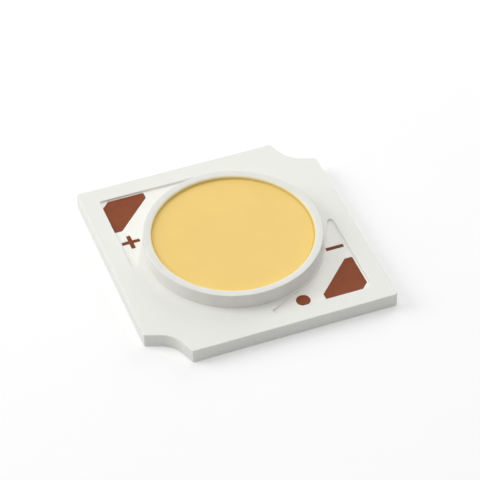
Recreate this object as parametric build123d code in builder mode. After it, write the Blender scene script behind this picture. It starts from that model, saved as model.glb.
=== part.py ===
from build123d import *
import os
from math import cos, pi, radians, sin, sqrt, tan

# A chip-on-board LED on a square white ceramic plate, in millimetres.
# The origin is the centre of the plate's underside. +Z is up, towards the light.
# The plus pad is at the corner (-X, +Y) and the minus pad at the corner (+X, -Y).

# Plate
plate_corner_radius = 0.15
base_thickness = 0.68

# Screw notches in the corners (+X, +Y) and (-X, -Y)
notch_radius = 1.6
notch_centre_inset = 0.215
notch_flank_angle = 20.3
notch_lip_radius = 0.12
same_place = 1e-6

# Copper print
copper_thickness = 0.025
copper_shift = 0.04
pad_leg = 2.5
pad_tip_width = 0.43
pad_corner_cut = 0.43
pad_vertex_radius = 0.08
pad_to_window = 0.06
mark_length = 1.02
mark_width = 0.235
mark_to_window = 0.15
mark_to_pad = 0.47
case_spot_diameter = 0.78
case_spot_to_pad = 0.77
case_spot_to_window = 0.07
lead_width = 1.2
bond_land = 0.3
bus_under_mask = 0.2
bus_half_angle = 56

# White coat over the copper
mask_thickness = 0.04
mask_under_dam = 0.14

# White cover layer with its two windows
cover_thickness = 0.12
cover_under_dam = 0.33
window_frame_width = 1.03
window_to_dam = 0.83
window_arc_to_dam = 0.02
window_flank_angle = 26.6
window_tip_radius = 0.165
window_corner_radius = 0.06

# Dam ring
light_radius = 4.42
dam_height = 0.87
dam_top_width = 0.405
dam_outer_foot_width = 0.065
dam_inner_foot_width = 0.16
dam_outer_round = 0.05

# Phosphor fill
fill_depth = 0.235
meniscus_to_rim = 0.06
meniscus_width = 0.45

# Dies and bond wires
string_count = 6
dies_per_string = 6
string_pitch = 1.05
die_side = 0.56
die_thickness = 0.15
die_to_bus = 0.12
electrode_inset = 0.1
wire_width = 0.03
wire_loop = 0.12
wire_stitch_rise = 0.05

# Heights
mask_base = base_thickness
cover_base = mask_base + mask_thickness
plate_top = cover_base + cover_thickness
dam_top = plate_top + dam_height
copper_top = base_thickness + copper_thickness
die_top = base_thickness + die_thickness

# Radii that follow from the light opening and the dam
dam_top_outer_radius = light_radius + dam_top_width
dam_foot_radius = dam_top_outer_radius + dam_outer_foot_width
dam_inner_foot_radius = light_radius - dam_inner_foot_width
mask_opening_radius = dam_inner_foot_radius + mask_under_dam
cover_opening_radius = dam_foot_radius - cover_under_dam
bus_inner_radius = dam_inner_foot_radius - bond_land
bus_outer_radius = mask_opening_radius + bus_under_mask
bond_radius = bus_inner_radius + bond_land / 2
window_arc_radius = dam_foot_radius + window_arc_to_dam

# Places that follow from the dam outwards, as distances from the plate's centre lines
window_edge = dam_foot_radius + window_to_dam
plate_half = window_edge + window_frame_width
plate_side = 2 * plate_half
pad_edge = window_edge - pad_to_window
pad_end = pad_edge - pad_leg
mark_centre = (window_edge - mark_to_window - mark_length / 2, pad_end - mark_to_pad - mark_length / 2)
case_spot_centre = (
    pad_end - case_spot_to_pad - case_spot_diameter / 2,
    window_edge - case_spot_to_window - case_spot_diameter / 2,
)


def copper_plane(height, turn):
    """The print's plane: turn 0 draws the anode side, and turn 180 the cathode side."""
    x_dir = (cos(radians(turn)), sin(radians(turn)), 0)
    return Plane(origin=(-copper_shift, 0, height), x_dir=x_dir, z_dir=(0, 0, 1))


def dam_inner_radius(height):
    """Radius of the dam's inner wall, which leans outwards from its foot to the light opening."""
    share = (height - base_thickness) / (dam_top - base_thickness)
    return dam_inner_foot_radius + dam_inner_foot_width * share


# Notch at the corner (+X, +Y): an arc for the screw's shank between two straight flanks
notch_centre = plate_half - notch_centre_inset
flank_cos = notch_radius * cos(radians(notch_flank_angle))
flank_sin = notch_radius * sin(radians(notch_flank_angle))
notch_middle = notch_centre - notch_radius * cos(pi / 4)
notch_mouth = notch_centre - flank_cos - (flank_sin + notch_centre_inset) * tan(radians(notch_flank_angle))
beyond_plate = plate_half + notch_radius

with BuildSketch() as notch:
    with BuildLine():
        Line((notch_mouth, plate_half), (notch_centre - flank_cos, notch_centre - flank_sin))
        ThreePointArc(
            (notch_centre - flank_cos, notch_centre - flank_sin),
            (notch_middle, notch_middle),
            (notch_centre - flank_sin, notch_centre - flank_cos),
        )
        Polyline(
            (notch_centre - flank_sin, notch_centre - flank_cos),
            (plate_half, notch_mouth),
            (beyond_plate, notch_mouth),
            (beyond_plate, beyond_plate),
            (notch_mouth, beyond_plate),
            (notch_mouth, plate_half),
        )
    make_face()


def edge_distances(vertex):
    """How far a point is from the nearest edge of the square along X, and along Y."""
    return plate_half - abs(vertex.X), plate_half - abs(vertex.Y)


def is_plain_corner(vertex):
    """True at a corner of the full square."""
    return max(edge_distances(vertex)) < same_place


def is_notch_lip(vertex):
    """True where a notch opens onto an edge of the square."""
    return min(edge_distances(vertex)) < same_place and not is_plain_corner(vertex)


with BuildSketch() as plate_outline:
    Rectangle(plate_side, plate_side)
    for turn in (0, 180):
        add(notch.sketch, rotation=turn, mode=Mode.SUBTRACT)
    fillet(plate_outline.vertices().filter_by(is_notch_lip), radius=notch_lip_radius)
    fillet(plate_outline.vertices().filter_by(is_plain_corner), radius=plate_corner_radius)

# Window at the corner (-X, +Y): two sides along the plate, and an inner side that runs
# straight from each tip until it meets the arc just outside the dam's foot
window_cos = cos(radians(window_flank_angle))
window_sin = sin(radians(window_flank_angle))
window_tip = (window_edge * window_cos - window_arc_radius) / window_sin
arc_start = (-window_arc_radius * window_cos, window_arc_radius * window_sin)
arc_middle = (-window_arc_radius * cos(pi / 4), window_arc_radius * sin(pi / 4))
arc_end = (-window_arc_radius * window_sin, window_arc_radius * window_cos)

with BuildSketch() as window:
    with BuildLine():
        Line((-window_edge, -window_tip), arc_start)
        ThreePointArc(arc_start, arc_middle, arc_end)
        Polyline(arc_end, (window_tip, window_edge), (-window_edge, window_edge), (-window_edge, -window_tip))
    make_face()
    for tip in ((-window_edge, -window_tip), (window_tip, window_edge)):
        fillet(window.vertices().sort_by_distance(tip)[0], radius=window_tip_radius)
    outer_corner = window.vertices().sort_by_distance((-window_edge, window_edge))[0]
    fillet(outer_corner, radius=window_corner_radius)

# Pad outline of the corner (-X, +Y): a right triangle with its tips and its corner cut off
with BuildSketch() as pad_outline:
    with BuildLine():
        Polyline(
            (-pad_edge, pad_edge - pad_corner_cut),
            (-pad_edge + pad_corner_cut, pad_edge),
            (-pad_end, pad_edge),
            (-pad_end, pad_edge - pad_tip_width),
            (-pad_edge + pad_tip_width, pad_end),
            (-pad_edge, pad_end),
            close=True,
        )
    make_face()
    fillet(pad_outline.vertices(), radius=pad_vertex_radius)

with BuildSketch() as minus_outline:
    with Locations((-mark_centre[0], mark_centre[1])):
        Rectangle(mark_length, mark_width)

with BuildSketch() as plus_outline:
    with Locations((-mark_centre[0], mark_centre[1])):
        Rectangle(mark_length, mark_width)
        Rectangle(mark_width, mark_length)

with BuildSketch() as spot_outline:
    with Locations((-case_spot_centre[0], case_spot_centre[1])):
        Circle(case_spot_diameter / 2)

# Bus arc and lead of the anode side; the lead runs along the diagonal to the pad
bus_middle_radius = (bus_inner_radius + bus_outer_radius) / 2
pad_nearest_radius = (pad_end + pad_edge - pad_tip_width) / sqrt(2)
lead_end_radius = pad_nearest_radius + pad_tip_width
lead_middle = (bus_middle_radius + lead_end_radius) / 2 / sqrt(2)

with BuildSketch() as bus_outline:
    with BuildLine():
        outer_arc = CenterArc((0, 0), bus_outer_radius, 180 - bus_half_angle, 2 * bus_half_angle)
        inner_arc = CenterArc((0, 0), bus_inner_radius, 180 - bus_half_angle, 2 * bus_half_angle)
        Line(outer_arc @ 0, inner_arc @ 0)
        Line(outer_arc @ 1, inner_arc @ 1)
    make_face()
    with Locations((-lead_middle, lead_middle)):
        Rectangle(lead_end_radius - bus_middle_radius, lead_width, rotation=135)

# Base plate
with BuildPart() as base_plate:
    add(plate_outline.sketch)
    extrude(amount=base_thickness)


def conductor(turn):
    """One pole's copper: bus arc, lead and pad."""
    with BuildPart() as copper:
        with BuildSketch(copper_plane(base_thickness, turn)):
            add(bus_outline.sketch)
            add(pad_outline.sketch)
        extrude(amount=copper_thickness)
    return copper


def copper_mark(outline, turn):
    """A separate spot of copper."""
    with BuildPart() as mark:
        with BuildSketch(copper_plane(base_thickness, turn)):
            add(outline.sketch)
        extrude(amount=copper_thickness)
    return mark


anode_conductor = conductor(0)
cathode_conductor = conductor(180)
plus_mark = copper_mark(plus_outline, 0)
minus_mark = copper_mark(minus_outline, 180)
case_spot = copper_mark(spot_outline, 180)
copper_parts = {
    "anode_conductor": anode_conductor,
    "cathode_conductor": cathode_conductor,
    "plus_mark": plus_mark,
    "minus_mark": minus_mark,
    "case_spot": case_spot,
}

# Mask coat: it covers the leads and the bus arcs' outer edges, and is open over pads, marks and dies
mask_openings = [
    (pad_outline, 0),
    (pad_outline, 180),
    (plus_outline, 0),
    (minus_outline, 180),
    (spot_outline, 180),
]

with BuildPart() as mask_coat:
    with BuildSketch(Plane.XY.offset(mask_base)):
        add(plate_outline.sketch)
        Circle(mask_opening_radius, mode=Mode.SUBTRACT)
    extrude(amount=mask_thickness)
    for outline, turn in mask_openings:
        with BuildSketch(copper_plane(mask_base, turn)):
            add(outline.sketch)
        extrude(amount=mask_thickness, mode=Mode.SUBTRACT)
    for copper in copper_parts.values():
        add(copper.part, mode=Mode.SUBTRACT)

# Cover layer: its windows show the pads and marks, and its inner edge is under the dam
with BuildPart() as cover_layer:
    with BuildSketch(Plane.XY.offset(cover_base)):
        add(plate_outline.sketch)
        Circle(cover_opening_radius, mode=Mode.SUBTRACT)
        for turn in (0, 180):
            add(window.sketch, rotation=turn, mode=Mode.SUBTRACT)
    extrude(amount=cover_thickness)

# Dam ring: laid over the steps of copper, mask and cover, so its underside follows them
dam_foot_at_base = dam_foot_radius + dam_outer_foot_width * (plate_top - base_thickness) / dam_height

with BuildPart() as dam_ring:
    with BuildSketch(Plane.XZ) as dam_section:
        with BuildLine():
            Polyline(
                (light_radius, dam_top),
                (dam_inner_foot_radius, base_thickness),
                (dam_foot_at_base, base_thickness),
                (dam_top_outer_radius, dam_top),
                close=True,
            )
        make_face()
        top_outer = dam_section.vertices().sort_by_distance((dam_top_outer_radius, dam_top))[0]
        fillet(top_outer, radius=dam_outer_round)
    revolve(axis=Axis.Z)
    for under_dam in (cover_layer, mask_coat, *copper_parts.values()):
        add(under_dam.part, mode=Mode.SUBTRACT)


def string_height(index):
    """Y of a string; the strings are centred on the plate."""
    return (index - (string_count - 1) / 2) * string_pitch


def die_places(row_y):
    """X of each die in a row: evenly spread, and as long as the space between the bus arcs."""
    corner_radius = bus_inner_radius - die_to_bus
    reach = sqrt(corner_radius**2 - (abs(row_y) + die_side / 2) ** 2) - die_side / 2
    return [reach * (2 * place / (dies_per_string - 1) - 1) for place in range(dies_per_string)]


def led_string(row_y):
    """A row of dies on the base plate."""
    with BuildPart() as dies:
        with BuildSketch(Plane.XY.offset(base_thickness)):
            with Locations([(x, row_y) for x in die_places(row_y)]):
                Rectangle(die_side, die_side)
        extrude(amount=die_thickness)
    return dies


def bond_wire(start, end, row_y):
    """A wire that rises from start, slopes down to just above end, and stands on both."""
    loop_top = start[1] + wire_loop
    with BuildPart() as wire:
        with BuildLine(Plane.XZ.offset(-row_y)):
            path = Polyline(start, (start[0], loop_top), (end[0], end[1] + wire_stitch_rise), end)
        with BuildSketch(Plane(origin=(start[0], row_y, start[1]), z_dir=(0, 0, 1))):
            Rectangle(wire_width, wire_width)
        sweep(path=path, transition=Transition.RIGHT)
    return wire.part


def bond_wires(row_y):
    """The wires of a row, in series from the anode's bus arc to the cathode's."""
    electrode = die_side / 2 - electrode_inset
    places = die_places(row_y)
    landing = sqrt(bond_radius**2 - row_y**2)
    wires = [bond_wire((places[0] - electrode, die_top), (-landing, copper_top), row_y)]
    for left, right in zip(places, places[1:]):
        wires.append(bond_wire((left + electrode, die_top), (right - electrode, die_top), row_y))
    wires.append(bond_wire((places[-1] + electrode, die_top), (landing, copper_top), row_y))
    with BuildPart() as row:
        add(wires)
    return row


led_strings = [led_string(string_height(index)) for index in range(string_count)]
wire_rows = [bond_wires(string_height(index)) for index in range(string_count)]

# Phosphor fill: flat in the middle, with a meniscus that climbs the dam's inner wall
fill_top = dam_top - fill_depth
meniscus_top = dam_top - meniscus_to_rim
meniscus_radius = dam_inner_radius(meniscus_top)
meniscus_start = meniscus_radius - meniscus_width

with BuildPart() as phosphor_fill:
    with BuildSketch(Plane.XZ):
        with BuildLine():
            Line((0, base_thickness), (0, fill_top))
            Line((0, fill_top), (meniscus_start, fill_top))
            TangentArc((meniscus_start, fill_top), (meniscus_radius, meniscus_top), tangent=(1, 0))
            Line((meniscus_radius, meniscus_top), (dam_inner_foot_radius, base_thickness))
            Line((dam_inner_foot_radius, base_thickness), (0, base_thickness))
        make_face()
    revolve(axis=Axis.Z)
    for sunk in [anode_conductor, cathode_conductor, *led_strings, *wire_rows]:
        add(sunk.part, mode=Mode.SUBTRACT)

# One file per piece
pieces = {
    "base_plate": base_plate,
    **copper_parts,
    "mask_coat": mask_coat,
    "cover_layer": cover_layer,
    "dam_ring": dam_ring,
    "phosphor_fill": phosphor_fill,
}
for index in range(string_count):
    pieces[f"led_string_{index + 1}"] = led_strings[index]
    pieces[f"bond_wires_{index + 1}"] = wire_rows[index]

os.makedirs("parts", exist_ok=True)
for name, piece in pieces.items():
    piece.part.label = name
    export_step(piece.part, f"parts/{name}.step")
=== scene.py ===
# %% [markdown]
# A chip-on-board LED. A square of fired alumina carries printed copper, two white
# coats, a ring of white silicone and, inside the ring, a disc of yellow phosphor
# silicone over rows of blue dies. The CAD model gives every piece its place and
# size. This lesson gives the visible pieces soft edges, a liquid's surface where the
# silicone was poured, and a finish of their own. It works in metres.

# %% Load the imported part
import bmesh
import bpy
import numpy as np
from mathutils import Matrix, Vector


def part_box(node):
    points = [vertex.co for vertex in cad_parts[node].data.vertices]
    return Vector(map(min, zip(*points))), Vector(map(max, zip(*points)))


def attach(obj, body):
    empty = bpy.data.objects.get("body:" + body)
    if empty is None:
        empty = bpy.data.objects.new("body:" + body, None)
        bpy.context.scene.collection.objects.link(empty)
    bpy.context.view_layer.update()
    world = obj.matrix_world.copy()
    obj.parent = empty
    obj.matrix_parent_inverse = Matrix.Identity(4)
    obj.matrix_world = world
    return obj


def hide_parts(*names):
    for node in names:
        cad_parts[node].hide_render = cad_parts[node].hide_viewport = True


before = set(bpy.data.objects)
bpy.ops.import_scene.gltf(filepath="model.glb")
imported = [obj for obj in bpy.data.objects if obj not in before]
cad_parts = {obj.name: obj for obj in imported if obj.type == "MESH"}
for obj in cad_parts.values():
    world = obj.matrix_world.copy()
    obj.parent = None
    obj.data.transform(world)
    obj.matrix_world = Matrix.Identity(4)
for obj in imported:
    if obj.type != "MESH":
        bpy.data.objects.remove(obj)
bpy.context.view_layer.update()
MM = 0.001

# %% [markdown]
# The camera comes first, because every later choice is judged through it. A camera
# can be placed by trying, or worked out from points whose place on the part is
# known. Here the plate's corners were matched with a long lens, so three angles, a
# distance and the point looked at are enough. The three rows of numbers below are
# the camera's own right, up and backward directions.

# %% Camera
turn, lift, tilt = np.radians([-20.3166, 44.0833, -0.5957])
looked_at = np.array([0.722, 0.900, 0.0]) * MM
camera_distance = 120.276 * MM

backward = np.array([np.sin(turn) * np.cos(lift), -np.cos(turn) * np.cos(lift), np.sin(lift)])
level_right = np.array([np.cos(turn), np.sin(turn), 0.0])
level_up = np.cross(backward, level_right)
right = level_right * np.cos(tilt) + level_up * np.sin(tilt)
up = level_up * np.cos(tilt) - level_right * np.sin(tilt)

camera_data = bpy.data.cameras.new("studio_camera")
camera_data.lens = 165.12
camera_data.sensor_width = 36.0
camera_data.clip_start = 0.002
camera_data.clip_end = 10.0
camera = bpy.data.objects.new("studio_camera", camera_data)
bpy.context.scene.collection.objects.link(camera)
placed = np.eye(4)
placed[:3, :3] = np.stack([right, up, backward], axis=1)
placed[:3, 3] = looked_at + camera_distance * backward
camera.matrix_world = Matrix(placed.tolist())
bpy.context.scene.camera = camera
bpy.context.scene.view_settings.view_transform = "Standard"
print("camera at mm:", np.round(placed[:3, 3] / MM, 1).tolist())

# %% [markdown]
# Product light for white ware is soft and comes mostly from one side, so that
# each edge has a bright and a dark face. A large soft box stands behind the part on
# its left, and weaker ones stand behind it on its right and high up. They leave its
# front in shade, which a faint front box and a pale surround fill.
# The surround could be lamps on all sides, but an even world does the same with less
# to balance. The camera and the reflections see that world as white.

# %% Surround
def link(tree, source, target):
    tree.links.new(source, target)


def seen_directly(tree):
    """1 for rays from the camera, off a gloss or through glass, and 0 for the light that the rest gets."""
    path = tree.nodes.new("ShaderNodeLightPath")
    either = tree.nodes.new("ShaderNodeMath")
    either.operation = "MAXIMUM"
    link(tree, path.outputs["Is Camera Ray"], either.inputs[0])
    link(tree, path.outputs["Is Glossy Ray"], either.inputs[1])
    any_of = tree.nodes.new("ShaderNodeMath")
    any_of.operation = "MAXIMUM"
    link(tree, either.outputs[0], any_of.inputs[0])
    link(tree, path.outputs["Is Transmission Ray"], any_of.inputs[1])
    return any_of.outputs[0]


surround_strength = 0.365
world = bpy.data.worlds.new("studio_surround")
bpy.context.scene.world = world
world.use_nodes = True
surround = world.node_tree.nodes["Background"]
surround.inputs["Color"].default_value = (1.0, 1.0, 1.0, 1.0)
level = world.node_tree.nodes.new("ShaderNodeMapRange")
level.inputs["To Min"].default_value = surround_strength
level.inputs["To Max"].default_value = 1.0
link(world.node_tree, seen_directly(world.node_tree), level.inputs["Value"])
link(world.node_tree, level.outputs["Result"], surround.inputs["Strength"])

# %% Soft boxes
def soft_box(name, heading, height, distance, size, energy):
    """A square lamp that looks at the part from a heading and a height, in degrees."""
    heading, height = np.radians([heading, height])
    away = np.array([np.cos(heading) * np.cos(height), np.sin(heading) * np.cos(height), np.sin(height)])
    sideways = np.array([-np.sin(heading), np.cos(heading), 0.0])
    data = bpy.data.lights.new(name, "AREA")
    data.shape = "SQUARE"
    data.size = size
    data.energy = energy
    lamp = bpy.data.objects.new(name, data)
    bpy.context.scene.collection.objects.link(lamp)
    aimed = np.eye(4)
    aimed[:3, :3] = np.stack([sideways, np.cross(away, sideways), away], axis=1)
    aimed[:3, 3] = away * distance
    lamp.matrix_world = Matrix(aimed.tolist())
    lamp.visible_camera = False
    print(name, "at mm:", np.round(aimed[:3, 3] / MM, 1).tolist())


soft_box("key_box", 150, 30, 250 * MM, 150 * MM, 0.3222)
soft_box("back_box", 44, 26, 150 * MM, 90 * MM, 0.0534)
soft_box("high_box", 95, 75, 150 * MM, 90 * MM, 0.0534)
soft_box("front_box", 272, 50, 150 * MM, 100 * MM, 0.0151)

# %% [markdown]
# The floor is a sheet of pale matte paper. Plain paper under this light would come
# out light grey, so what the camera sees of it also gets a little light of its own.
# That keeps the soft shadow round the plate, and sends no more light onto the part.

# %% Floor
floor_half = 400 * MM
floor_drop = 0.01 * MM
floor_mesh = bpy.data.meshes.new("floor")
floor_corners = [
    (x * floor_half, y * floor_half, -floor_drop) for x, y in ((-1, -1), (1, -1), (1, 1), (-1, 1))
]
floor_mesh.from_pydata(floor_corners, [], [(0, 1, 2, 3)])
floor = bpy.data.objects.new("floor", floor_mesh)
bpy.context.scene.collection.objects.link(floor)

paper = bpy.data.materials.new("pale_paper")
paper.use_nodes = True
paper_tree = paper.node_tree
paper_surface = paper_tree.nodes["Principled BSDF"]
paper_surface.inputs["Base Color"].default_value = (0.77, 0.77, 0.77, 1.0)
paper_surface.inputs["Roughness"].default_value = 1.0
paper_surface.inputs["Specular IOR Level"].default_value = 0.0
paper_surface.inputs["Emission Color"].default_value = (1.0, 1.0, 1.0, 1.0)
own_light = paper_tree.nodes.new("ShaderNodeMapRange")
own_light.inputs["To Min"].default_value = 0.0
own_light.inputs["To Max"].default_value = 0.262
link(paper_tree, seen_directly(paper_tree), own_light.inputs["Value"])
link(paper_tree, own_light.outputs["Result"], paper_surface.inputs["Emission Strength"])
floor_mesh.materials.append(paper)

# %% [markdown]
# Outlines. The plate, its windows and its pads are all polygons with rounded
# corners. They could be traced point by point, but one rule makes them all: an arc
# that touches both sides of a corner. It also makes the screw notches and the
# windows' round inner side, which are only corners with a large radius.

# %% Rounded outline
def rounded_outline(corners, radii, arc_step=0.03 * MM):
    """Points of a closed outline and its outward directions, as two arrays.

    The corners run anticlockwise. At each one the arc's centre lies on the bisector, radius / sin(half the
    corner's angle) from the corner. The outward direction turns evenly from one side's to the next side's.
    The arc's points are the centre plus radius times it, or minus where the outline turns inwards.
    """
    corners = np.array(corners, float)
    radii = np.broadcast_to(np.array(radii, float), len(corners))
    back = np.roll(corners, 1, axis=0) - corners
    ahead = np.roll(corners, -1, axis=0) - corners
    back /= np.linalg.norm(back, axis=1)[:, None]
    ahead /= np.linalg.norm(ahead, axis=1)[:, None]
    half = np.arccos(np.clip((back * ahead).sum(axis=1), -1, 1)) / 2
    bisector = (back + ahead) / np.linalg.norm(back + ahead, axis=1)[:, None]
    centres = corners + bisector * (radii / np.sin(half))[:, None]
    sense = np.sign(back[:, 1] * ahead[:, 0] - back[:, 0] * ahead[:, 1])
    sweep = sense * (np.pi - 2 * half)
    start = np.arctan2(back[:, 0], -back[:, 1])
    points, normals = [], []
    for centre, radius, sign, first, turned in zip(centres, radii, sense, start, sweep):
        count = max(int(np.ceil(abs(turned) * radius / arc_step)), 4)
        angle = first + turned * np.linspace(0, 1, count + 1)
        outward = np.stack([np.cos(angle), np.sin(angle)], axis=1)
        points.append(centre + sign * radius * outward)
        normals.append(outward)
    return np.concatenate(points), np.concatenate(normals)


def half_turn(outline):
    """The same outline on the plate's other side."""
    return -outline[0], -outline[1]


def moved(outline, dx):
    """The same outline, moved along X."""
    return outline[0] + np.array([dx, 0.0]), outline[1]


# %% Plate outline
plate_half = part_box("base_plate")[1].x
notch_radius = 1.6 * MM
notch_inset = 0.215 * MM
notch_flank = np.radians(20.3)
arc_centre = plate_half - notch_inset
mouth = arc_centre - notch_radius * np.cos(notch_flank)
mouth -= (notch_radius * np.sin(notch_flank) + notch_inset) * np.tan(notch_flank)
flanks_meet = mouth + (plate_half - mouth) * np.sin(notch_flank) / (np.sin(notch_flank) + np.cos(notch_flank))
lip_radius, corner_radius = 0.12 * MM, 0.15 * MM
half_plate_corners = [
    (plate_half, -plate_half), (plate_half, mouth), (flanks_meet, flanks_meet), (mouth, plate_half),
]
plate_outline = rounded_outline(
    half_plate_corners + [(-x, -y) for x, y in half_plate_corners],
    [corner_radius, lip_radius, notch_radius, lip_radius] * 2,
)
print("plate outline:", len(plate_outline[0]), "points, side", round(2 * plate_half / MM, 3), "mm")

# %% Window outline
window_edge = 5.72 * MM
window_arc = 4.955 * MM
window_flank = np.radians(26.1)
window_corner, tip_radius = 0.06 * MM, 0.165 * MM
tip_end = (window_edge * np.cos(window_flank) - window_arc) / np.sin(window_flank)
inner_meet = window_arc / (np.cos(window_flank) + np.sin(window_flank))
window_corners = [
    (-window_edge, window_edge), (-window_edge, -tip_end), (-inner_meet, inner_meet), (tip_end, window_edge),
]
plus_window = rounded_outline(window_corners, [window_corner, tip_radius, window_arc, tip_radius])
minus_window = half_turn(plus_window)

# %% Pad and mark outlines
print_shift = -0.04 * MM
pad_edge, pad_leg, pad_cut = 5.66 * MM, 2.5 * MM, 0.43 * MM
pad_end = pad_edge - pad_leg
pad_round, mark_round = 0.08 * MM, 0.02 * MM
pad = rounded_outline(
    [
        (-pad_edge, pad_edge - pad_cut), (-pad_edge, pad_end), (-pad_edge + pad_cut, pad_end),
        (-pad_end, pad_edge - pad_cut), (-pad_end, pad_edge), (-pad_edge + pad_cut, pad_edge),
    ],
    pad_round,
)
mark_x, mark_y = 5.06 * MM, 2.18 * MM
mark_half, bar_half = 0.51 * MM, 0.1175 * MM
plus_arm = np.array([(mark_half, -bar_half), (mark_half, bar_half), (bar_half, bar_half)])
quarter_turns = [
    np.array([[np.cos(a), np.sin(a)], [-np.sin(a), np.cos(a)]]) for a in np.arange(4) * np.pi / 2
]
plus = rounded_outline(np.concatenate([plus_arm @ q for q in quarter_turns]) + [-mark_x, mark_y], mark_round)
unit_square = np.array([(1, -1), (1, 1), (-1, 1), (-1, -1)])
minus = rounded_outline(unit_square * [mark_half, bar_half] + [mark_x, -mark_y], mark_round)
spot_place, spot_radius = [2.0 * MM, -5.26 * MM], 0.39 * MM
spot = rounded_outline(unit_square * spot_radius + spot_place, spot_radius)
print_openings = [moved(shape, print_shift) for shape in (pad, half_turn(pad), plus, minus, spot)]


def circle(radius, steps=360):
    """A circle about the plate's centre."""
    angle = np.arange(steps) * 2 * np.pi / steps
    outward = np.stack([np.cos(angle), np.sin(angle)], axis=1)
    return radius * outward, outward


# %% [markdown]
# Coats. The ceramic plate and its white layers are flat sheets with holes. A sheet
# could be cut with booleans, but these leave ragged faces at the rims. Here each
# rim is a narrow band: a small profile, flat on top, round at the edge and straight
# down the wall, is carried along the outline. The flat faces are then filled in
# between the bands.

# %% Sheet with rounded rims
flat_strip = 0.02 * MM
merge_distance = 1e-8


def rim_profile(top, bottom, top_round, bottom_round=0.0, steps=5):
    """Offsets and heights down a rim, as an array of pairs.

    It starts flat, goes round a quarter circle of radius top_round, runs down the wall, goes round a quarter
    circle of radius bottom_round, and ends flat. The offset is 0 on the wall and negative over the sheet.
    """
    quarter = np.linspace(0, np.pi / 2, steps + 1)
    rise, run = np.sin(quarter), np.cos(quarter)
    above = np.stack([top_round * (rise - 1), top - top_round * (1 - run)], axis=1)
    below = np.stack([bottom_round * (run - 1), bottom + bottom_round * (1 - rise)], axis=1)
    flat_top = [(above[0, 0] - flat_strip, top)]
    straight = [(0.0, above[-1, 1] - flat_strip)]
    if bottom_round:
        return np.concatenate([flat_top, above, straight, below, [(below[-1, 0] - flat_strip, bottom)]])
    return np.concatenate([flat_top, above, straight, [(0.0, bottom)]])


def rim_band(outline, profile, inner):
    """Points and four-sided faces of a profile carried round an outline.

    A point is the outline's point plus the offset times its outward direction, at the profile's height. On an
    inner rim the offset goes the other way, and the faces turn round.
    """
    points, outward = outline
    side = -1.0 if inner else 1.0
    rows, columns = len(profile), len(points)
    flat = points[None, :, :] + side * profile[:, 0, None, None] * outward[None, :, :]
    height = np.broadcast_to(profile[:, 1, None, None], (rows, columns, 1))
    grid = np.arange(rows * columns).reshape(rows, columns)
    here, beside = grid, np.roll(grid, -1, axis=1)
    faces = np.stack([here[:-1], here[1:], beside[1:], beside[:-1]], axis=-1).reshape(-1, 4)
    return np.concatenate([flat, height], axis=-1).reshape(-1, 3), faces[:, ::-1] if inner else faces, grid


def sheet(name, outer, holes, outer_profile, hole_profile):
    """Mesh of a closed sheet: a band round the outline, one round each hole, and flat faces between them."""
    bands = [rim_band(outer, outer_profile, False)] + [rim_band(hole, hole_profile, True) for hole in holes]
    starts = np.cumsum([0] + [len(points) for points, faces, grid in bands])
    mesh = bpy.data.meshes.new(name)
    mesh.from_pydata(
        np.concatenate([points for points, faces, grid in bands]), [],
        np.concatenate([faces + start for (points, faces, grid), start in zip(bands, starts)]),
    )
    build = bmesh.new()
    build.from_mesh(mesh)
    bmesh.ops.remove_doubles(build, verts=build.verts, dist=merge_distance)
    for height, up_or_down in ((outer_profile[0, 1], 1), (outer_profile[-1, 1], -1)):
        open_edges = [
            edge for edge in build.edges
            if edge.is_boundary and all(abs(end.co.z - height) < merge_distance for end in edge.verts)
        ]
        bmesh.ops.triangle_fill(build, use_beauty=True, edges=open_edges, normal=(0, 0, up_or_down))
    bmesh.ops.recalc_face_normals(build, faces=build.faces)
    build.to_mesh(mesh)
    build.free()
    return mesh


def show(mesh, stands_for, smooth_angle=30):
    """Puts a finished mesh on the part in place of its CAD node."""
    piece = bpy.data.objects.new(mesh.name, mesh)
    bpy.context.scene.collection.objects.link(piece)
    mesh.shade_smooth()
    mesh.set_sharp_from_angle(angle=np.radians(smooth_angle))
    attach(piece, "root")
    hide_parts(stands_for)
    triangles = sum(len(face.vertices) - 2 for face in mesh.polygons)
    print(mesh.name, triangles, "triangles")
    return piece


# %% Plate, mask and cover
plate_low, plate_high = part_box("base_plate")
mask_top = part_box("mask_coat")[1].z
cover_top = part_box("cover_layer")[1].z
plate_top_round, plate_bottom_round = 0.004 * MM, 0.04 * MM
mask_round, print_round = 0.002 * MM, 0.012 * MM
cover_round, window_round = 0.055 * MM, 0.02 * MM
plate_rim = rim_profile(plate_high.z, plate_low.z, plate_top_round, plate_bottom_round)
mask_rim = rim_profile(mask_top, plate_high.z, mask_round)
print_rim = rim_profile(mask_top, plate_high.z, print_round)
cover_rim = rim_profile(cover_top, mask_top, cover_round)
window_rim = rim_profile(cover_top, mask_top, window_round)
mask_opening, cover_opening = circle(4.4 * MM), circle(4.56 * MM)

plate = show(sheet("plate_body", plate_outline, [], plate_rim, plate_rim), "base_plate")
mask = show(
    sheet("mask_sheet", plate_outline, [mask_opening] + print_openings, mask_rim, print_rim),
    "mask_coat",
)
cover = show(
    sheet("cover_sheet", plate_outline, [cover_opening, plus_window, minus_window], cover_rim, window_rim),
    "cover_layer",
)

# %% [markdown]
# The dam is a bead of silicone, laid down by a needle that goes once round and then
# cured. Its section is a low wall with soft shoulders. A turned profile gives that
# form. A bead is never perfectly even, so its width and height wander by a few
# thousandths of a millimetre, and it is a little fuller where the needle stopped.

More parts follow.
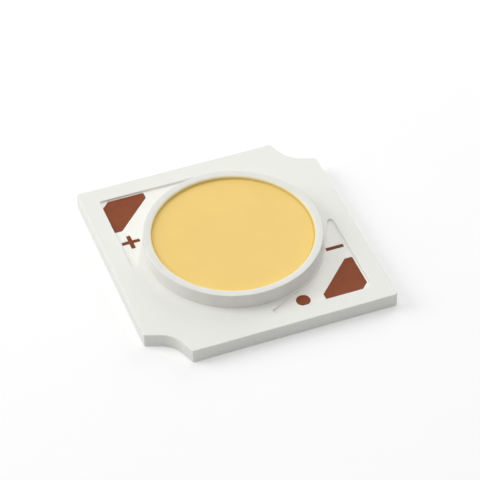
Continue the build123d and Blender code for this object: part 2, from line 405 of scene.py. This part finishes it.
# %% Turned surface
def turned(name, profile, steps, wander):
    """Mesh of a closed profile turned about Z.

    A profile point at radius r and height z goes to (r cos a, r sin a, z), after wander(a, r, z) has moved r
    and z. Points on the axis are merged into one.
    """
    angle = np.arange(steps) * 2 * np.pi / steps
    radius, height = wander(angle[None, :], profile[:, 0, None], profile[:, 1, None])
    points = np.stack([radius * np.cos(angle), radius * np.sin(angle), height], axis=-1)
    rows = len(profile)
    grid = np.arange(rows * steps).reshape(rows, steps)
    beside, below = np.roll(grid, -1, axis=1), np.roll(grid, -1, axis=0)
    corner = np.roll(below, -1, axis=1)
    faces = np.stack([grid, below, corner, beside], axis=-1).reshape(-1, 4)
    mesh = bpy.data.meshes.new(name)
    mesh.from_pydata(points.reshape(-1, 3), [], faces)
    build = bmesh.new()
    build.from_mesh(mesh)
    bmesh.ops.remove_doubles(build, verts=build.verts, dist=merge_distance)
    bmesh.ops.dissolve_degenerate(build, edges=build.edges, dist=1e-9)
    bmesh.ops.recalc_face_normals(build, faces=build.faces)
    if build.calc_volume(signed=True) < 0:
        bmesh.ops.reverse_faces(build, faces=build.faces)
    build.to_mesh(mesh)
    build.free()
    return mesh


def arc(centre, radius, first, last, steps=6):
    """Points of an arc in the profile's plane, from one angle in degrees to another."""
    angle = np.radians(np.linspace(first, last, steps + 1))
    return np.stack([centre[0] + radius * np.cos(angle), centre[1] + radius * np.sin(angle)], axis=1)


def line(start, end, steps):
    """Points on a straight stretch, without its ends."""
    share = np.linspace(0, 1, steps + 2)[1:-1, None]
    return np.array(start) * (1 - share) + np.array(end) * share


# %% Dam
dam_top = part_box("dam_ring")[1].z
light_radius = 4.42 * MM
inner_foot, outer_top = 4.26 * MM, 4.86 * MM
outer_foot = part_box("dam_ring")[1].x
outer_round = 0.05 * MM
shoulder_inset = outer_round * 0.92
lip_width, lip_drop = 0.21 * MM, 0.07 * MM
foot_low = 0.70 * MM
wall_lean = (outer_foot - outer_top) / (dam_top - cover_top)
foot_radius = outer_foot + wall_lean * (cover_top - foot_low)
shoulder = arc((outer_top - shoulder_inset, dam_top - outer_round), outer_round, 90, 12)
lip_centre = [light_radius + lip_width, dam_top - lip_drop]
lip = arc((0.0, 0.0), 1.0, 170, 90, 8) * [lip_width, lip_drop] + lip_centre
crown = line(lip[-1], shoulder[0], 8)
dam_profile = np.concatenate([
    [(inner_foot, foot_low)], line((inner_foot, foot_low), lip[0], 6), lip, crown, shoulder,
    line(shoulder[-1], (foot_radius, foot_low), 10), [(foot_radius, foot_low)],
])


bead_sway, bead_sag = 0.0035 * MM, 0.004 * MM
stop_heading, stop_width = np.radians(35.0), 0.07
wave_limit = 2.2


def bead_wander(angle, radius, height):
    """Slow waves round the ring and one low swelling, which grow from nothing at the foot to full at the top.

    The wave is a sum of three sines of the angle and never passes wave_limit. The radius grows by the sway
    times the wave, more towards the outside. The height sinks by the sag times a sum: 1, plus half of wave /
    wave_limit, less 0.9 of a bell curve in the angle round the place where the needle stopped.
    """
    share = np.clip((height - foot_low) / (dam_top - foot_low), 0, 1)
    wave = np.sin(3 * angle + 0.6) + 0.7 * np.sin(7 * angle + 2.1) + 0.5 * np.sin(13 * angle + 4.0)
    from_stop = np.angle(np.exp(1j * (angle - stop_heading)))
    stop = np.exp(-((from_stop / stop_width) ** 2))
    outside = np.clip((radius - light_radius) / (outer_top - light_radius), 0, 1)
    sunk = bead_sag * share * (1 + 0.5 * wave / wave_limit - 0.9 * stop)
    return radius + bead_sway * wave * share * outside, height - sunk


dam_mesh = turned("dam_bead", dam_profile, 360, bead_wander)
dam = show(dam_mesh, "dam_ring", smooth_angle=60)

# %% [markdown]
# The phosphor fill was poured as a liquid. It is flat in the middle, and wets the
# dam, so it climbs the wall in a short curve that gets steeper. A liquid's surface
# near a wall rises as an exponential, and that is the formula used here. A second,
# wider and much lower one gives the faint dish that is left when silicone shrinks in
# its cure. A cut cylinder would show a hard line round its edge instead.

# %% Phosphor fill
fill_level = 1.475 * MM
lip_radius_low, lip_low = lip[0]
climb_top = lip_low - 0.006 * MM
climb_reach = 0.024 * MM
dish_rise, dish_reach = 0.02 * MM, 0.35 * MM
film_overlap = 0.003 * MM
wall_slope = (lip_radius_low - inner_foot) / (lip_low - foot_low)
climb_radius = inner_foot + wall_slope * (climb_top - foot_low) + film_overlap
curved_width = 1.2 * MM
flat_rings, curved_rings = 30, 36
flat_part = np.linspace(0, climb_radius - curved_width, flat_rings)
curved_part = climb_radius - curved_width * (1 - np.linspace(0, 1, curved_rings + 1)[1:]) ** 2
fill_radii = np.concatenate([flat_part, curved_part])
from_wall = climb_radius - fill_radii
climb_rise = climb_top - fill_level - dish_rise
dish, climb = dish_rise * np.exp(-from_wall / dish_reach), climb_rise * np.exp(-from_wall / climb_reach)
fill_heights = fill_level + dish + climb
fill_foot, fill_axis = (inner_foot, foot_low), (0.0, foot_low)
fill_profile = np.concatenate([
    np.stack([fill_radii, fill_heights], axis=1), line((climb_radius, climb_top), fill_foot, 6),
    [fill_foot], line(fill_foot, fill_axis, 8), [fill_axis],
])


ripple_height, ripple_length = 0.0015 * MM, 0.9 * MM
skin_depth = 0.01 * MM


def pour_wander(angle, radius, height):
    """Ripples the cured surface a little, and not at all at its centre, its rim and its underside.

    The height grows by the ripple's height times the share of the way in from the rim, times the sine of
    radius / the ripple's length, times cos(2 angle + 0.7).
    """
    inside = np.clip((climb_radius - radius) / climb_radius, 0, 1) * (height > fill_level - skin_depth)
    ripple = np.sin(radius / ripple_length) * np.cos(2 * angle + 0.7)
    return radius + 0 * angle, height + ripple_height * inside * ripple


fill_mesh = turned("phosphor_disc", fill_profile[::-1], 300, pour_wander)
fill = show(fill_mesh, "phosphor_fill", smooth_angle=60)

# %% [markdown]
# Finishes. Each one is worked out from noise on the part's own coordinates, so it
# keeps its scale and stays put from every side. A few helpers do the shared work:
# they make a noise, tones from a noise, a blend of two tones and a fine relief. What
# differs from finish to finish is the grain's size, how strong it is and how it shines.

# %% Finish helpers
def new_finish(name, roughness, **sockets):
    """A material with its surface shader and the part's own coordinates, in metres."""
    material = bpy.data.materials.new(name)
    material.use_nodes = True
    tree = material.node_tree
    surface = tree.nodes["Principled BSDF"]
    surface.inputs["Roughness"].default_value = roughness
    for socket, value in sockets.items():
        surface.inputs[socket.replace("_", " ")].default_value = value
    place = tree.nodes.new("ShaderNodeTexCoord").outputs["Object"]
    return material, tree, surface, place


def grain(tree, place, size, detail=2.0, roughness=0.5):
    """Noise whose spots are about size metres across."""
    noise = tree.nodes.new("ShaderNodeTexNoise")
    noise.inputs["Scale"].default_value = 1.0 / size
    noise.inputs["Detail"].default_value = detail
    noise.inputs["Roughness"].default_value = roughness
    link(tree, place, noise.inputs["Vector"])
    return noise.outputs["Fac"]


def tones(tree, amount, first, second, low=0.3, high=0.7):
    """Blends two colours by an amount, from the first at low to the second at high."""
    ramp = tree.nodes.new("ShaderNodeValToRGB")
    ramp.color_ramp.elements[0].position = low
    ramp.color_ramp.elements[0].color = (*first, 1.0)
    ramp.color_ramp.elements[1].position = high
    ramp.color_ramp.elements[1].color = (*second, 1.0)
    link(tree, amount, ramp.inputs["Fac"])
    return ramp.outputs["Color"]


def relief(tree, amount, surface, depth):
    """Raises the surface by depth metres times the amount."""
    bump = tree.nodes.new("ShaderNodeBump")
    bump.inputs["Distance"].default_value = depth
    bump.inputs["Strength"].default_value = 1.0
    link(tree, amount, bump.inputs["Height"])
    link(tree, bump.outputs["Normal"], surface.inputs["Normal"])


def mixed(tree, first, second, share=0.5):
    """Mixes two colour outputs. The share is the second one's, and a link to Factor takes its place."""
    mix = tree.nodes.new("ShaderNodeMix")
    mix.data_type = "RGBA"
    mix.inputs["Factor"].default_value = share
    link(tree, first, mix.inputs["A"])
    link(tree, second, mix.inputs["B"])
    return mix


def ring_blend(tree, place, centre_tone, rim_tone, centre_end, rim_start):
    """Blends two colour outputs by the distance from the plate's centre, softly between two radii."""
    apart = tree.nodes.new("ShaderNodeSeparateXYZ")
    link(tree, place, apart.inputs[0])
    flat_place = tree.nodes.new("ShaderNodeCombineXYZ")
    link(tree, apart.outputs["X"], flat_place.inputs["X"])
    link(tree, apart.outputs["Y"], flat_place.inputs["Y"])
    from_centre = tree.nodes.new("ShaderNodeVectorMath")
    from_centre.operation = "LENGTH"
    link(tree, flat_place.outputs[0], from_centre.inputs[0])
    at_rim = tree.nodes.new("ShaderNodeMapRange")
    at_rim.interpolation_type = "SMOOTHSTEP"
    at_rim.inputs["From Min"].default_value = centre_end
    at_rim.inputs["From Max"].default_value = rim_start
    link(tree, from_centre.outputs["Value"], at_rim.inputs["Value"])
    blend = mixed(tree, centre_tone, rim_tone)
    link(tree, at_rim.outputs["Result"], blend.inputs["Factor"])
    return blend.outputs["Result"]


# %% [markdown]
# Fired alumina is off-white and dry to the eye. Its crystals are a few hundredths
# of a millimetre across. They show as a fine grain, with clouds a few millimetres
# wide where the paste was denser. The printed cover is the same white, but
# smoother, with the shallow orange peel of a coat that levelled as it dried. The
# dam's silicone turns pale yellow where the fill touches its inner lip. This is partly
# the fill's own film there and partly painted light: a yellow glow, lighter than the
# dam's white, for the light that the fill sends through the clear silicone.

# %% White finishes
alumina, tree, surface, place = new_finish("fired_alumina", 0.62)
clouds = tones(tree, grain(tree, place, 2.4 * MM), (0.84, 0.845, 0.805), (0.87, 0.875, 0.835))
specks = tones(tree, grain(tree, place, 0.045 * MM, 3.0), (0.785, 0.785, 0.745), (0.90, 0.90, 0.87))
link(tree, mixed(tree, clouds, specks, 0.35).outputs["Result"], surface.inputs["Base Color"])
relief(tree, grain(tree, place, 0.05 * MM, 3.0, 0.6), surface, 0.0030 * MM)

cover_white, tree, surface, place = new_finish("printed_cover", 0.55)
clouds = tones(tree, grain(tree, place, 3.1 * MM), (0.835, 0.835, 0.79), (0.862, 0.86, 0.818))
link(tree, clouds, surface.inputs["Base Color"])
relief(tree, grain(tree, place, 0.16 * MM, 3.0, 0.55), surface, 0.0022 * MM)

mask_white, tree, surface, place = new_finish("warm_mask", 0.42)
clouds = tones(tree, grain(tree, place, 1.3 * MM), (0.883, 0.879, 0.827), (0.91, 0.906, 0.853))
link(tree, clouds, surface.inputs["Base Color"])
relief(tree, grain(tree, place, 0.11 * MM, 2.0), surface, 0.0016 * MM)

silicone, tree, surface, place = new_finish("white_dam_silicone", 0.38)
clouds = tones(tree, grain(tree, place, 0.9 * MM), (0.777, 0.774, 0.728), (0.805, 0.801, 0.755))
# Pale yellow on the inner lip, lighter than the dam's white: partly the fill's film, and partly a painted
# glow of the fill's light through the silicone.
lip_film_and_painted_glow = tones(tree, grain(tree, place, 0.4 * MM), (0.877, 0.794, 0.51), (0.90, 0.816, 0.533))
lip_end = light_radius + 0.12 * MM
link(tree, ring_blend(tree, place, lip_film_and_painted_glow, clouds, light_radius, lip_end), surface.inputs["Base Color"])
relief(tree, grain(tree, place, 0.22 * MM, 2.0), surface, 0.0025 * MM)

# %% [markdown]
# Phosphor silicone is clear rubber full of yellow powder. The powder is finer than
# the eye sees, so the disc looks matte and even, with faint grains. The film up
# the wall is thin and lies in its own shade. That shade is painted: near the wall
# the disc's colour turns darker and nearer to amber, by the distance from the
# plate's centre.

# %% Phosphor finish
phosphor, tree, surface, place = new_finish("phosphor_silicone_finish", 0.48, Specular_IOR_Level=0.3)
flat = tones(tree, grain(tree, place, 1.8 * MM), (0.888, 0.629, 0.189), (0.917, 0.657, 0.202))
fine_grain = grain(tree, place, 0.03 * MM, 2.0)
powder = tones(tree, fine_grain, (0.855, 0.597, 0.161), (0.930, 0.686, 0.240), 0.25, 0.75)
body = mixed(tree, flat, powder, 0.3)
# Painted shade: darker, amber tones for the film up the wall, which lies in its own shade.
amber_painted_shade = tones(tree, grain(tree, place, 0.5 * MM), (0.677, 0.477, 0.117), (0.710, 0.500, 0.128))
painted_shade_start, painted_shade_end = climb_radius - 0.14 * MM, climb_radius - 0.07 * MM
tint = ring_blend(tree, place, body.outputs["Result"], amber_painted_shade, painted_shade_start, painted_shade_end)
link(tree, tint, surface.inputs["Base Color"])
relief(tree, grain(tree, place, 0.05 * MM, 2.0), surface, 0.0012 * MM)

# %% [markdown]
# The pads and marks are bare copper print that has been fired and left in air. It
# has gone dull and brown. Metal that is lightly tarnished still has some metal
# sheen, so the finish is part metal, with a printed grain and darker clouds. The
# narrow plus and minus get the pads' tones times 0.82, so they are darker than the pads.

# %% Metal and die finishes
def copper_finish(name, shade):
    """Dull copper print, whose tones are the pads' own times a shade."""
    material, tree, surface, place = new_finish(name, 0.6, Metallic=0.1, Specular_IOR_Level=0.1)
    low, high, dark, light = np.array(
        [(0.229, 0.063, 0.028), (0.261, 0.074, 0.033), (0.194, 0.049, 0.021), (0.302, 0.093, 0.044)]
    ) * shade
    clouds = tones(tree, grain(tree, place, 0.55 * MM, 3.0), low, high)
    specks = tones(tree, grain(tree, place, 0.035 * MM, 2.0), dark, light)
    link(tree, mixed(tree, clouds, specks, 0.3).outputs["Result"], surface.inputs["Base Color"])
    relief(tree, grain(tree, place, 0.04 * MM, 3.0), surface, 0.0015 * MM)
    return material


copper = copper_finish("tarnished_copper", 1.0)
# Darker copper for the plus and minus marks: the pads' tones times 0.82.
dark_copper = copper_finish("darker_mark_copper", 0.82)

sapphire, tree, surface, place = new_finish("sapphire_die", 0.18)
tint = tones(tree, grain(tree, place, 0.12 * MM), (0.12, 0.19, 0.34), (0.17, 0.26, 0.44))
link(tree, tint, surface.inputs["Base Color"])
relief(tree, grain(tree, place, 0.015 * MM), surface, 0.0004 * MM)

gold, tree, surface, place = new_finish("drawn_gold", 0.25, Metallic=1.0)
tint = tones(tree, grain(tree, place, 0.02 * MM), (0.86, 0.60, 0.22), (0.94, 0.68, 0.28))
link(tree, tint, surface.inputs["Base Color"])
relief(tree, grain(tree, place, 0.01 * MM), surface, 0.0003 * MM)

# %% Dress the pieces
piece_finishes = (
    (plate, alumina), (mask, mask_white), (cover, cover_white), (dam, silicone), (fill, phosphor),
)
for piece, finish in piece_finishes:
    piece.data.materials.append(finish)
cad_finish = {
    "led_string": sapphire, "bond_wires": gold, "plus_mark": dark_copper, "minus_mark": dark_copper,
}
for name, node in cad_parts.items():
    finish = next((made for start, made in cad_finish.items() if name.startswith(start)), copper)
    if not node.hide_render:
        node.material_slots[0].material = finish
        print(name, "wears", finish.name)
